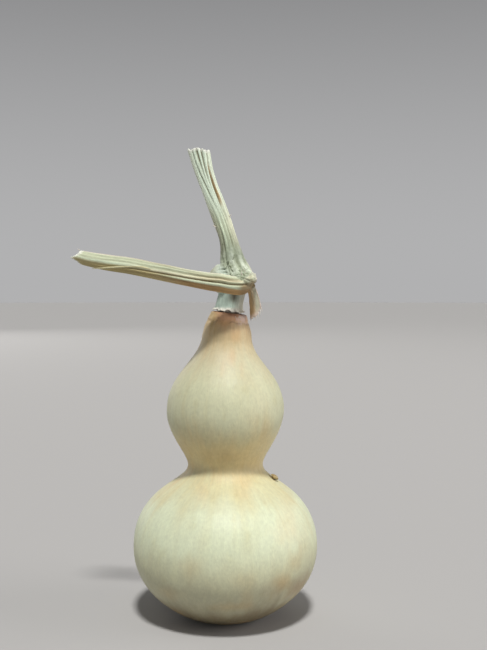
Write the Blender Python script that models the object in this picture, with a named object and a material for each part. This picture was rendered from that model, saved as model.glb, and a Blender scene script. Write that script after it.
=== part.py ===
"""A small dried bottle gourd: the two-lobed fruit, its short stalk and the folded piece of vine it grew on.

The gourd stands on its blossom end. The origin is the centre of its foot, +Z runs up the gourd's axis,
and -Y faces the viewer. Sizes are given in millimetres and turned into metres where a mesh is made.
"""

import math

import bpy
import numpy as np
from mathutils import Vector
from mathutils.geometry import interpolate_bezier

MM = 0.001
SHARP_ANGLE = 50

# The fruit: height above the foot, radius there, and how far the outline runs upright below and above it
BELLY_HEIGHT, BELLY_RADIUS, BELLY_BELOW, BELLY_ABOVE = 23.7, 30.3, 16.5, 18.3
WAIST_HEIGHT, WAIST_RADIUS, WAIST_BELOW, WAIST_ABOVE = 50.0, 12.4, 5.9, 3.7
CROWN_HEIGHT, CROWN_RADIUS, CROWN_BELOW, CROWN_ABOVE = 68.1, 19.4, 8.2, 11.6
NECK_HEIGHT, NECK_RADIUS, NECK_BELOW, NECK_ABOVE = 91.7, 8.3, 7.3, 2.5
NECK_TAPER = 0.08
LIP_HEIGHT, LIP_RADIUS, LIP_BELOW, LIP_ABOVE = 98.9, 6.2, 2.9, 0.85
LIP_TAPER = 0.4
TOP_HEIGHT, TOP_RADIUS, TOP_ROUND = 99.9, 4.7, 0.7
SOCKET_RADIUS, SOCKET_DEPTH = 3.9, 1.7
FOOT_RADIUS, FOOT_ROUND = 9.5, 3.2
AROUND = 48

# How the fruit departs from a turned shape: its neck leans, its top slopes, and its sides are a little lumpy
LEAN, LEAN_FROM = 0.7, 82.0
TOP_SLOPE, TOP_SLOPE_FROM = 0.12, 94.0
LUMPS = ((2, 0.004, 0.4, 0.010), (3, 0.003, 2.1, 0.045), (5, 0.002, 1.2, -0.060))

# The fruit's stalk, from its root in the socket up to the vine
CLEAR = 0.3
STALK_AROUND = 30
STALK_ANGLES, STALK_RIB, RIB_FADE = 5, 0.04, 2.0
STALK_FOOT, STALK_HEAD, STALK_BOW = (0.75, 0.0, 98.6), (2.4, -0.6, 107.4), 0.3
ROOT_RADIUS, ROOT_HEIGHT = 3.4, 1.8
SKIRT_RADIUS, SKIRT_HEIGHT, SKIRT_SLOPE = 4.85, 2.2, 0.15
# The skirt's ragged edge: waves round it, their phase, how far they stand out, and how far they lift its edge
SKIRT_WAVES, SKIRT_LIFT = ((7, 0.6, 0.125), (11, 2.0, 0.09)), 0.7
FLARE_HEIGHT, FLARE_RADIUS = 0.7, 4.7
SHANK_RADIUS, HEAD_RADIUS = 4.35, 4.4

# The two arms of the vine, from the elbow out to the torn end: x, y, z, half-width, half-depth
RISING_ARM = (
    (6.4, -4.6, 108.6, 3.0, 3.0), (4.7, -4.2, 111.9, 4.6, 3.3), (2.8, -3.2, 115.9, 4.3, 3.0),
    (2.1, -2.5, 119.2, 3.6, 2.6), (1.3, -2.0, 122.4, 2.9, 2.3), (0.4, -1.6, 125.7, 2.7, 2.1),
    (-1.3, -1.1, 130.7, 2.85, 2.1), (-3.4, -0.6, 136.3, 2.85, 2.0), (-5.0, -0.2, 140.4, 2.75, 1.9),
    (-6.7, 0.2, 145.3, 2.95, 1.8), (-7.8, 0.5, 149.4, 3.25, 1.7), (-8.8, 0.7, 154.3, 3.65, 1.6),
)
LEVEL_ARM = (
    (8.0, -6.0, 108.4, 2.6, 2.7), (4.8, -9.2, 108.6, 2.9, 2.8), (1.6, -11.3, 109.0, 2.9, 2.8),
    (-1.4, -12.4, 109.6, 2.9, 2.8), (-4.6, -12.7, 110.0, 2.8, 2.8), (-10.9, -12.6, 111.1, 2.65, 2.7),
    (-17.2, -12.2, 112.4, 2.65, 2.6), (-23.5, -11.7, 113.7, 2.6, 2.6), (-29.9, -11.1, 115.0, 2.65, 2.6),
    (-36.3, -10.5, 115.9, 2.55, 2.5), (-42.6, -9.9, 117.0, 2.35, 2.4), (-46.1, -9.6, 117.9, 2.2, 2.2),
    (-48.8, -9.3, 118.2, 1.9, 2.0),
)

# Strands of each arm: angle round the arm (0 is its upper or right-hand side, 270 faces the viewer),
# half-width, half-thickness, how far short of the arm's end it stops, and how its own torn end slants
RISING_STRANDS = (
    (0, 0.85, 0.60, 2.6, 0.3), (48, 1.10, 0.70, 3.6, -0.5), (112, 1.20, 0.70, 2.2, 0.5),
    (170, 1.15, 0.75, 0.4, 0.4), (218, 1.15, 0.75, 1.1, -0.3), (262, 1.05, 0.75, 0.8, 0.3),
    (308, 0.95, 0.70, 2.0, -0.4),
)
LEVEL_STRANDS = (
    (15, 1.35, 0.80, 3.1, 0.5), (75, 1.40, 0.85, 5.2, -0.5), (135, 1.35, 0.80, 6.4, 0.6),
    (190, 1.25, 0.80, 5.0, 0.9), (240, 1.25, 0.85, 3.6, 0.6), (285, 1.15, 0.80, 0.9, -0.9),
    (332, 1.05, 0.80, 2.8, 0.4),
)
RISING_CORE_STOPS, LEVEL_CORE_STOPS, CORE_INSET = 7.0, 8.5, 0.75
STRAND_AROUND, STRAND_STEPS, STRAND_TAPER, TAPER_LENGTH = 8, 14, 0.25, 3.0
CORE_AROUND, CORE_STEPS = 14, 14
ROUTE_STEPS, CURVE_STEPS = 60, 16

# The elbow where the vine folds, the swelling over the stalk and the webs that tie them to the rising arm,
# then two shreds: x, y, z, half-width, half-depth
ELBOW_CENTRE, ELBOW_RADII = (6.8, -5.3, 109.5), (3.6, 3.8, 3.7)
SWELLING_CENTRE, SWELLING_RADII = (0.9, -0.6, 110.6), (5.9, 4.6, 4.8)
LUMP_AROUND, LUMP_STEPS, LUMP_CAP = 18, 10, 0.06
BACK_WEB = (
    (0.6, 1.2, 109.6, 3.4, 2.6), (1.2, 0.4, 113.0, 3.4, 2.7), (1.7, -0.6, 116.6, 2.9, 2.4),
    (1.3, -1.1, 120.6, 2.0, 1.6), (0.2, -1.2, 126.0, 1.2, 1.0),
)
SIDE_WEB = (
    (3.0, -0.6, 109.6, 3.0, 3.0), (5.4, -2.0, 111.6, 3.2, 3.0), (5.4, -2.8, 115.0, 2.4, 2.4),
    (3.6, -2.4, 119.6, 1.5, 1.6),
)
WEB_STEPS, WEB_AROUND = 8, 12
FLAP = (
    (7.6, -3.8, 110.2, 1.5, 1.2), (8.4, -3.6, 107.6, 1.6, 0.8), (9.1, -3.4, 105.0, 1.7, 0.7),
    (9.6, -3.3, 102.2, 1.95, 0.6), (9.9, -3.4, 99.6, 1.9, 0.5),
)
FLAP_STEPS, FLAP_SLANT = 8, 1.0
SPLINTER = (
    (-23.6, -12.6, 114.1, 0.5, 0.6), (-27.0, -13.2, 114.7, 0.5, 0.5), (-31.3, -13.1, 114.7, 0.45, 0.45),
    (-36.0, -12.6, 114.5, 0.4, 0.4), (-41.4, -12.0, 114.2, 0.25, 0.25),
)
SPLINTER_STEPS = 8


def clear_scene():
    for obj in list(bpy.data.objects):
        bpy.data.objects.remove(obj)


def material(name, colour, roughness):
    made = bpy.data.materials.new(name)
    made.use_nodes = True
    shader = made.node_tree.nodes["Principled BSDF"]
    shader.inputs["Base Color"].default_value = (*colour, 1.0)
    shader.inputs["Roughness"].default_value = roughness
    shader.inputs["Metallic"].default_value = 0.0
    return made


def solid(name, rings, finish):
    """A closed object through rings of equally many points, in millimetres, with a cap at both ends."""
    around = len(rings[0])
    points = [tuple(point) for ring in rings for point in np.asarray(ring) * MM]
    faces = [tuple(reversed(range(around)))]
    for low in range(0, (len(rings) - 1) * around, around):
        for k in range(around):
            after = (k + 1) % around
            faces.append((low + k, low + after, low + around + after, low + around + k))
    faces.append(tuple(range(len(points) - around, len(points))))
    mesh = bpy.data.meshes.new(name)
    mesh.from_pydata(points, [], faces)
    mesh.materials.append(finish)
    mesh.shade_smooth()
    mesh.set_sharp_from_angle(angle=math.radians(SHARP_ANGLE))
    obj = bpy.data.objects.new(name, mesh)
    bpy.context.scene.collection.objects.link(obj)
    return obj


def ramp(value, start, end):
    """0 up to start, 1 from end on, and smooth between them."""
    share = min(1.0, max(0.0, (value - start) / (end - start)))
    return share * share * (3 - 2 * share)


def bezier(start, start_handle, end_handle, end, steps):
    """Outline points (radius, height) after start, up to and with end."""
    corners = [Vector((*point, 0)) for point in (start, start_handle, end_handle, end)]
    return [(point.x, point.y) for point in interpolate_bezier(*corners, steps + 1)[1:]]


def fruit_outline():
    """(radius, height) from the rim of the flat foot, up the outside, to the floor of the stalk's socket."""
    foot, top = (FOOT_RADIUS, 0.0), (TOP_RADIUS, TOP_HEIGHT)
    belly, waist = (BELLY_RADIUS, BELLY_HEIGHT), (WAIST_RADIUS, WAIST_HEIGHT)
    crown, neck = (CROWN_RADIUS, CROWN_HEIGHT), (NECK_RADIUS, NECK_HEIGHT)
    lip = (LIP_RADIUS, LIP_HEIGHT)
    under_neck = (NECK_RADIUS + NECK_TAPER * NECK_BELOW, NECK_HEIGHT - NECK_BELOW)
    over_neck = (NECK_RADIUS - NECK_TAPER * NECK_ABOVE, NECK_HEIGHT + NECK_ABOVE)
    under_lip = (LIP_RADIUS + LIP_TAPER * LIP_BELOW, LIP_HEIGHT - LIP_BELOW)
    over_lip = (LIP_RADIUS - LIP_TAPER * LIP_ABOVE, LIP_HEIGHT + LIP_ABOVE)
    outline = [foot]
    outline += bezier(foot, (FOOT_RADIUS + FOOT_ROUND, 0.0), raised(belly, -BELLY_BELOW), belly, 8)
    outline += bezier(belly, raised(belly, BELLY_ABOVE), raised(waist, -WAIST_BELOW), waist, 9)
    outline += bezier(waist, raised(waist, WAIST_ABOVE), raised(crown, -CROWN_BELOW), crown, 6)
    outline += bezier(crown, raised(crown, CROWN_ABOVE), under_neck, neck, 8)
    outline += bezier(neck, over_neck, under_lip, lip, 4)
    outline += bezier(lip, over_lip, (TOP_RADIUS + TOP_ROUND, TOP_HEIGHT), top, 3)
    outline += [(SOCKET_RADIUS, TOP_HEIGHT - 0.1), (SOCKET_RADIUS - 0.1, TOP_HEIGHT - SOCKET_DEPTH)]
    return outline


def raised(point, rise):
    return point[0], point[1] + rise


def lumpy(radius, height, angle):
    """The outline's radius with the fruit's low lumps, which fade out on its foot."""
    lumps = sum(size * math.cos(n * angle + phase + turn * height) for n, size, phase, turn in LUMPS)
    return radius * (1 + lumps * ramp(height, 0.0, 12.0))


def make_fruit(finish):
    rings = []
    for radius, height in fruit_outline():
        centre = LEAN * ramp(height, LEAN_FROM, TOP_HEIGHT)
        slope = TOP_SLOPE * ramp(height, TOP_SLOPE_FROM, TOP_HEIGHT - 1)
        ring = []
        for k in range(AROUND):
            angle = 2 * math.pi * k / AROUND
            size = lumpy(radius, height, angle)
            x, y = size * math.cos(angle), size * math.sin(angle)
            ring.append((centre + x, y, height - slope * x))
        rings.append(ring)
    return solid("gourd", rings, finish)


def stalk_rings(clear=0.0):
    """The stalk, grown by clear: a root in the socket, a ragged skirt on the fruit's top, an angled shank."""
    foot, head = np.array(STALK_FOOT), np.array(STALK_HEAD)
    length = head[2] - foot[2]
    # Height above the foot, radius, how ragged the stalk is there
    stations = (
        (0.0, ROOT_RADIUS, 0.0), (ROOT_HEIGHT - 0.1, ROOT_RADIUS, 0.0), (ROOT_HEIGHT, SKIRT_RADIUS, 1.0),
        (SKIRT_HEIGHT, SKIRT_RADIUS, 0.8), (SKIRT_HEIGHT + FLARE_HEIGHT, FLARE_RADIUS, 0.15),
        (SKIRT_HEIGHT + RIB_FADE, SHANK_RADIUS, 0.0), (length - RIB_FADE, SHANK_RADIUS, 0.0),
        (length, HEAD_RADIUS, 0.0),
    )
    rings = []
    for height, radius, ragged in stations:
        share = height / length
        centre = foot + (head - foot) * share
        centre[0] -= STALK_BOW * math.sin(math.pi * share)
        if height == length:
            centre[2] += clear
        slope = SKIRT_SLOPE * (1 - share)
        ring = []
        for k in range(STALK_AROUND):
            angle = 2 * math.pi * k / STALK_AROUND
            frill = ragged * sum(size * math.sin(n * angle + phase) for n, phase, size in SKIRT_WAVES)
            rib = ramp(height, SKIRT_HEIGHT, SKIRT_HEIGHT + RIB_FADE) * math.cos(STALK_ANGLES * angle)
            reach = radius * (1 + STALK_RIB * rib) + frill + clear
            x, y = reach * math.cos(angle), reach * math.sin(angle)
            ring.append((centre[0] + x, centre[1] + y, centre[2] - slope * x + SKIRT_LIFT * abs(frill)))
        rings.append(ring)
    return rings


def make_stalk(finish):
    return solid("fruit_stalk", stalk_rings(), finish)


def smoothed(rows, count):
    """count rows at even distances on a smooth curve through the given ones, and those distances."""
    rows = np.array(rows, float)
    padded = np.vstack([2 * rows[0] - rows[1], rows, 2 * rows[-1] - rows[-2]])
    dense = []
    for i in range(1, len(rows)):
        before, start, end, after = padded[i - 1 : i + 3]
        turn, bend = 2 * before - 5 * start + 4 * end - after, 3 * (start - end) + after - before
        for t in np.linspace(0, 1, CURVE_STEPS, endpoint=False):
            dense.append(start + 0.5 * ((end - before) * t + turn * t**2 + bend * t**3))
    dense = np.array([*dense, rows[-1]])
    steps = np.linalg.norm(np.diff(dense[:, :3], axis=0), axis=1)
    lengths = np.concatenate([[0], np.cumsum(steps)])
    even = np.linspace(0, lengths[-1], count)
    return between(even, lengths, dense), even


def between(at, places, rows):
    """The rows, given at these places, read off at other places."""
    return np.stack([np.interp(at, places, column) for column in rows.T], axis=-1)


def frames(points):
    """Unit vectors at each point: along the route, up or to the right across it, and away from the viewer."""
    along = np.gradient(points, axis=0)
    along /= np.linalg.norm(along, axis=1)[:, None]
    across = np.cross((0.0, 1.0, 0.0), along)
    across /= np.linalg.norm(across, axis=1)[:, None]
    return along, across, np.cross(along, across)


def tube(name, rows, around, finish, slant=0.0):
    """A solid of oval section along the rows. slant tears its far end askew."""
    along, across, away = frames(rows[:, :3])
    rings = []
    for i, (*point, half_width, half_depth) in enumerate(rows):
        askew = slant if i == len(rows) - 1 else 0.0
        ring = []
        for k in range(around):
            angle = 2 * math.pi * k / around
            side, depth = half_width * math.cos(angle), half_depth * math.sin(angle)
            ring.append(point + side * across[i] + depth * away[i] + askew * side * along[i])
        rings.append(ring)
    return solid(name, rings, finish)


def strand(name, rows, lengths, spec, finish):
    """One ribbon of an arm, laid along the arm's surface and stopping short of the arm's end."""
    angle, half_width, half_thick, short, slant = spec
    turn = math.radians(angle)
    table = np.hstack([rows, *frames(rows[:, :3])])
    stop = lengths[-1] - short
    rings = []
    for step in np.linspace(0, stop, STRAND_STEPS):
        here = between(step, lengths, table)
        point, (wide, deep), (forward, side, back) = here[:3], here[3:5] - half_thick, here[5:].reshape(3, 3)
        middle = point + side * wide * math.cos(turn) + back * deep * math.sin(turn)
        flat = back * deep * math.cos(turn) - side * wide * math.sin(turn)
        flat /= np.linalg.norm(flat)
        out = np.cross(forward, flat)
        swell = 1 - STRAND_TAPER * ramp(step, stop - TAPER_LENGTH, stop)
        askew = slant if step == stop else 0.0
        ring = []
        for k in range(STRAND_AROUND):
            around = 2 * math.pi * k / STRAND_AROUND
            a, b = half_width * swell * math.cos(around), half_thick * swell * math.sin(around)
            ring.append(middle + a * flat + b * out + askew * a * forward)
        rings.append(ring)
    return solid(name, rings, finish)


def make_arm(name, arm, strands, core_stops, finish):
    """The pieces of one arm: a core that stops short of the torn end, and the strands that rib it."""
    rows, lengths = smoothed(arm, ROUTE_STEPS)
    core = between(np.linspace(0, lengths[-1] - core_stops, CORE_STEPS), lengths, rows)
    core[:, 3:] -= CORE_INSET
    pieces = [tube(name + "_core", core, CORE_AROUND, finish)]
    for number, spec in enumerate(strands):
        pieces.append(strand(f"{name}_strand_{number}", rows, lengths, spec, finish))
    return pieces


def lump(name, centre, radii, finish):
    """An egg-shaped solid, closed by small flat caps."""
    rings = []
    for share in np.linspace(LUMP_CAP, 1 - LUMP_CAP, LUMP_STEPS):
        width, height = math.sin(math.pi * share), -math.cos(math.pi * share)
        ring = []
        for k in range(LUMP_AROUND):
            angle = 2 * math.pi * k / LUMP_AROUND
            way = np.array((width * math.cos(angle), width * math.sin(angle), height))
            ring.append(np.array(centre) + np.array(radii) * way)
        rings.append(ring)
    return solid(name, rings, finish)


def fuse(name, pieces):
    """Joins the pieces into the first one, which takes the name."""
    others = bpy.data.collections.new(name + "_pieces")
    bpy.context.scene.collection.children.link(others)
    body = pieces[0]
    for piece in pieces[1:]:
        bpy.context.scene.collection.objects.unlink(piece)
        others.objects.link(piece)
    union = body.modifiers.new("union", "BOOLEAN")
    union.operation = "UNION"
    union.operand_type = "COLLECTION"
    union.collection = others
    apply_modifiers(body)
    for piece in pieces[1:]:
        bpy.data.objects.remove(piece)
    bpy.data.collections.remove(others)
    body.name = name
    return body


def apply_modifiers(obj):
    graph = bpy.context.evaluated_depsgraph_get()
    graph.update()
    mesh = bpy.data.meshes.new_from_object(obj.evaluated_get(graph))
    obj.modifiers.clear()
    obj.data = mesh


def cut_seat(vine, finish):
    """Takes the room of the stalk out of the vine, with a clear gap round it."""
    cutter = solid("stalk_seat", stalk_rings(CLEAR), finish)
    cutter.hide_render = True
    cutter.display_type = "WIRE"
    cut = vine.modifiers.new("seat", "BOOLEAN")
    cut.operation = "DIFFERENCE"
    cut.object = cutter


def make_vine(finish):
    pieces = [lump("swelling", SWELLING_CENTRE, SWELLING_RADII, finish)]
    pieces.append(lump("elbow", ELBOW_CENTRE, ELBOW_RADII, finish))
    pieces += make_arm("rising", RISING_ARM, RISING_STRANDS, RISING_CORE_STOPS, finish)
    pieces += make_arm("level", LEVEL_ARM, LEVEL_STRANDS, LEVEL_CORE_STOPS, finish)
    for name, web in (("back_web", BACK_WEB), ("side_web", SIDE_WEB)):
        pieces.append(tube(name, smoothed(web, WEB_STEPS)[0], WEB_AROUND, finish))
    pieces.append(tube("flap", smoothed(FLAP, FLAP_STEPS)[0], STRAND_AROUND, finish, FLAP_SLANT))
    pieces.append(tube("splinter", smoothed(SPLINTER, SPLINTER_STEPS)[0], STRAND_AROUND, finish))
    vine = fuse("vine", pieces)
    cut_seat(vine, finish)
    return vine


clear_scene()
make_fruit(material("gourd_skin", (0.73, 0.66, 0.42), 0.45))
make_stalk(material("pale_stalk", (0.66, 0.65, 0.52), 0.75))
make_vine(material("dry_vine", (0.62, 0.56, 0.36), 0.8))
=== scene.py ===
"""Looks of a small dried bottle gourd with its stalk and the folded, torn vine it grew on.

Lengths are millimetres in the tables and metres in the meshes. +Z is up and -Y faces the viewer. Tones are
screen colours from 0 to 255. Noise takes the size of its lumps and a seed.
"""

import itertools
import math

import bpy
import numpy as np
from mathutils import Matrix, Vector
from mathutils.geometry import interpolate_bezier


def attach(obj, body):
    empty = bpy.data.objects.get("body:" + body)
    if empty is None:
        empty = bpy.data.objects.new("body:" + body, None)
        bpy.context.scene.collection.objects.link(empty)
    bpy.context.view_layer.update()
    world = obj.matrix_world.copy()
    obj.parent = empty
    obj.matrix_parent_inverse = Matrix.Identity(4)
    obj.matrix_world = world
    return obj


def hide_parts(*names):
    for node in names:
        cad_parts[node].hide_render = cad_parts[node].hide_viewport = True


MM = 0.001
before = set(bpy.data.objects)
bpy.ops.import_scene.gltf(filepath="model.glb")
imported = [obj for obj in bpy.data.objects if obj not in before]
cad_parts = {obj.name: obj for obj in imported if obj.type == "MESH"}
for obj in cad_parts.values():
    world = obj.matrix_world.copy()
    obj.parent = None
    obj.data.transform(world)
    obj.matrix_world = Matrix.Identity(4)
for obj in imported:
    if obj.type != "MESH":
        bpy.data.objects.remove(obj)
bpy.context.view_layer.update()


def ramp(value, start, end):
    """0 up to start, 1 from end on, and smooth between. start may be the larger one."""
    share = np.clip((np.asarray(value, float) - start) / (end - start), 0, 1)
    return share * share * (3 - 2 * share)


def noise(points, size, seed=0):
    """Smooth noise from -1 to 1 at these points, with lumps of about this size."""
    places = np.asarray(points, float) / size
    cell = np.floor(places).astype(np.int64)
    part = places - cell
    part = part * part * (3 - 2 * part)
    total = np.zeros(places.shape[:-1])
    for corner in itertools.product((0, 1), repeat=3):
        x, y, z = np.moveaxis(cell + np.array(corner), -1, 0)
        mixed = (x * 73856093) ^ (y * 19349663) ^ (z * 83492791) ^ (seed * 26544357)
        mixed = ((mixed ^ (mixed >> 13)) * 1274126177) & 0x7FFFFFFF
        mixed ^= mixed >> 15
        weight = np.prod(np.where(np.array(corner), part, 1 - part), axis=-1)
        total += weight * ((mixed & 0xFFFF) / 32767.5 - 1)
    return total


def cloudy(points, size, seed=0, octaves=3):
    """Noise with finer noise on it, from about -1 to 1."""
    total = sum(noise(points, size / 2**k, seed + 7 * k) / 2**k for k in range(octaves))
    return total / (2 - 2 ** (1 - octaves))


def linear(colour):
    """A screen colour, 0 to 255, as the light it stands for."""
    share = np.asarray(colour, float) / 255
    return np.where(share <= 0.04045, share / 12.92, ((share + 0.055) / 1.055) ** 2.4)


def tinted(below, above, share):
    """Mixes two colours, or arrays of them, by a share for each point."""
    share = np.clip(np.asarray(share, float), 0, 1)[..., None]
    return below * (1 - share) + above * share


def coated(colours, *coats):
    """The colours with coats laid over them in turn, each a tone and every point's share of it."""
    for tone, share in coats:
        colours = tinted(colours, linear(tone), share)
    return colours


def shaded(colours, factor, share):
    """The colours multiplied by a factor, by a share for each point."""
    return tinted(colours, colours * factor, share)


def circle(count):
    """Angles at even steps once round."""
    return np.linspace(0, 2 * np.pi, count, endpoint=False)


def bell(distance, width):
    """1 in the middle and smoothly down to 0 over a few widths."""
    return np.exp(-((distance / width) ** 2))


def reach_from(points, middle, radii):
    """How far points are from a middle, in radii."""
    return np.linalg.norm((points - middle) / radii, axis=1)


def stacked(*columns):
    """The columns side by side along a new last axis."""
    return np.stack(np.broadcast_arrays(*columns), -1)


def between(at, places, rows):
    """The rows, given at these places, read off at other places."""
    rows = np.asarray(rows, float)
    return np.stack([np.interp(at, places, column) for column in rows.T], axis=-1)


def along(at, corners):
    """A line through (place, value) corners, read off at other places."""
    return np.interp(at, *zip(*corners))


def smoothed(rows, count, steps=16):
    """Evenly spaced rows on a smooth curve through the given ones, and their distances."""
    rows = np.array(rows, float)
    padded = np.vstack([2 * rows[0] - rows[1], rows, 2 * rows[-1] - rows[-2]])
    dense = []
    for i in range(1, len(rows)):
        before, start, end, after = padded[i - 1 : i + 3]
        turn, bend = 2 * before - 5 * start + 4 * end - after, 3 * (start - end) + after - before
        for t in np.linspace(0, 1, steps, endpoint=False):
            dense.append(start + 0.5 * ((end - before) * t + turn * t**2 + bend * t**3))
    dense = np.array([*dense, rows[-1]])
    lengths = np.concatenate([[0], np.cumsum(np.linalg.norm(np.diff(dense[:, :3], axis=0), axis=1))])
    even = np.linspace(0, lengths[-1], count)
    return between(even, lengths, dense), even


def frames(points):
    """Unit vectors at each point: ahead, up or to the right across it, and away from the viewer."""
    ahead = np.gradient(points, axis=0)
    ahead /= np.linalg.norm(ahead, axis=1)[:, None]
    across = np.cross((0, 1, 0), ahead)
    across /= np.linalg.norm(across, axis=1)[:, None]
    return ahead, across, np.cross(ahead, across)


def joined(parts):
    """Several (points, faces) as one."""
    points, faces, base = [], [], 0
    for some, these in parts:
        points.append(some)
        faces += [tuple(base + k for k in face) for face in these]
        base += len(some)
    return np.vstack(points), faces


def wrapped(rings, caps=True):
    """(points, faces) of a skin through closed rings."""
    count, around = len(rings), len(rings[0])
    faces = []
    for low in range(0, (count - 1) * around, around):
        for k in range(around):
            after = (k + 1) % around
            faces.append((low + k, low + after, low + around + after, low + around + k))
    if caps:
        faces.append(tuple(reversed(range(around))))
        faces.append(tuple(range((count - 1) * around, count * around)))
    return np.vstack(rings), faces


def oval(rows, around, caps=True):
    """(points, faces) of a tube of oval section along rows of x, y, z, half-width, half-depth."""
    _, across, away = frames(rows[:, :3])
    turn = circle(around)[:, None]
    rings = []
    for (x, y, z, wide, deep), side, back in zip(rows, across, away):
        rings.append(np.array((x, y, z)) + np.cos(turn) * wide * side + np.sin(turn) * deep * back)
    return wrapped(rings, caps)


def hair(rows, around=5):
    """A thin fibre along rows of x, y, z, radius."""
    rows = smoothed(rows, 9, 6)[0]
    return oval(np.column_stack([rows, rows[:, 3]]), around)


def ball(around, steps, end):
    """Rings of unit vectors up a ball, short of its ends by a share of the height."""
    turn = circle(around)[:, None]
    for share in np.linspace(end, 1 - end, steps):
        wide = np.sin(np.pi * share)
        yield np.hstack([wide * np.cos(turn), wide * np.sin(turn), -np.cos(np.pi * share) + 0 * turn])


def linked(name, data):
    """A new object in the scene."""
    obj = bpy.data.objects.new(name, data)
    bpy.context.scene.collection.objects.link(obj)
    return obj


def mesh_of(name, points, faces):
    mesh = bpy.data.meshes.new(name)
    mesh.from_pydata([tuple(point) for point in points], [], faces)
    return mesh


def made(name, points, faces, colours, grain):
    """A smooth object that carries its own colours and grain."""
    mesh = mesh_of(name, np.asarray(points) * MM, faces)
    mesh.shade_smooth()
    tint = mesh.attributes.new("tint", "FLOAT_COLOR", "POINT")
    rgba = np.ones((len(points), 4), np.float32)
    rgba[:, :3] = np.clip(colours, DARKEST, PALEST)
    tint.data.foreach_set("color", rgba.ravel())
    held = mesh.attributes.new("grain", "FLOAT_VECTOR", "POINT")
    held.data.foreach_set("vector", np.asarray(grain, np.float32).ravel())
    return linked(name, mesh)


# The fruit's belly, waist, crown, neck and lip: radius, height, how far the outline's handles reach down and
# up, how much they lean, and steps from the one below. The foot and the top have a rounding
FORMS = (
    (30.3, 23.7, 16.5, 18.3, 0, 8), (12.4, 50, 5.9, 3.7, 0, 9), (19.4, 68.1, 8.2, 11.6, 0, 6),
    (8.3, 91.7, 7.3, 2.5, 0.08, 8), (6.2, 98.9, 2.9, 0.85, 0.4, 4),
)
FOOT, FOOT_ROUND = (9.5, 0), 3.2
TOP, TOP_ROUND = (4.7, 99.9), 0.7
# How far the neck and its rim lean to the right and the top slopes, and the heights where each starts
LEAN, LEAN_FROM = 0.7, 82
RIM_LEAN, RIM_LEAN_FROM, RIM_LEAN_TO = 0.45, 95.5, 99.2
TOP_SLOPE, TOP_SLOPE_FROM = 0.12, 94
COLLAR = 97
# Waves round the fruit: how many, height as a share of the radius, phase, and turn for each millimetre up
LUMPS = ((2, 0.004, 0.4, 0.01), (3, 0.003, 2.1, 0.045), (5, 0.002, 1.2, -0.06))
FRUIT_AROUND, FRUIT_FINER = 250, 7
# Radius and height of the blossom scar's rings, from the middle out, and of the hollow that the stalk fills
BLOSSOM_SCAR = (
    (0.05, 0.9), (0.5, 0.85), (1, 0.35), (1.6, 0.15), (2.2, 0.3), (2.8, 0.35), (3.5, 0.15), (4.6, 0.05),
    (7, 0),
)
SOCKET = ((3.9, 99.8), (3.7, 98.4), (0.1, 98.3))
# Small fibres where the skin is scraped at the neck's rim: x, y, z, radius of their corners
RIM_FIBRES = (
    ((3.3, -6, 98.9, 0.1), (3.6, -6.25, 98.1, 0.09), (3.5, -6.45, 97.2, 0.03)),
    ((4.4, -5.6, 99, 0.12), (5, -5.6, 98.3, 0.1), (5, -5.85, 97.4, 0.04)),
    ((5.3, -5, 99, 0.12), (5.9, -4.95, 98.4, 0.09), (6.3, -4.95, 97.8, 0.03)),
    ((4, -5.8, 98.6, 0.09), (4.8, -5.8, 98.5, 0.08), (5.6, -5.3, 98.6, 0.03)),
)
SCAB, SCAB_SIZE, SCAB_TILT = (16.2, -1.7, 46), (1.2, 1.3, 0.62), 33


def bezier(start, start_handle, end_handle, end, steps):
    """Points on one curve of the outline, without its first."""
    corners = [Vector((*point, 0)) for point in (start, start_handle, end_handle, end)]
    return [(point.x, point.y) for point in interpolate_bezier(*corners, steps * FRUIT_FINER + 1)[1:]]


def fruit_outline():
    """(radius, height) up the outside of the fruit, from the rim of its flat foot to its top."""
    outline, last, handle = [FOOT], FOOT, (FOOT[0] + FOOT_ROUND, 0)
    for radius, height, down, up, lean, steps in FORMS:
        outline += bezier(last, handle, (radius + lean * down, height - down), (radius, height), steps)
        last, handle = (radius, height), (radius - lean * up, height + up)
    return outline + bezier(last, handle, (TOP[0] + TOP_ROUND, TOP[1]), TOP, 3)


def round_axis(angle, height):
    """Where to read noise that is drawn out along the fruit."""
    return stacked(30 * np.cos(angle), 30 * np.sin(angle), height)


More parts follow.
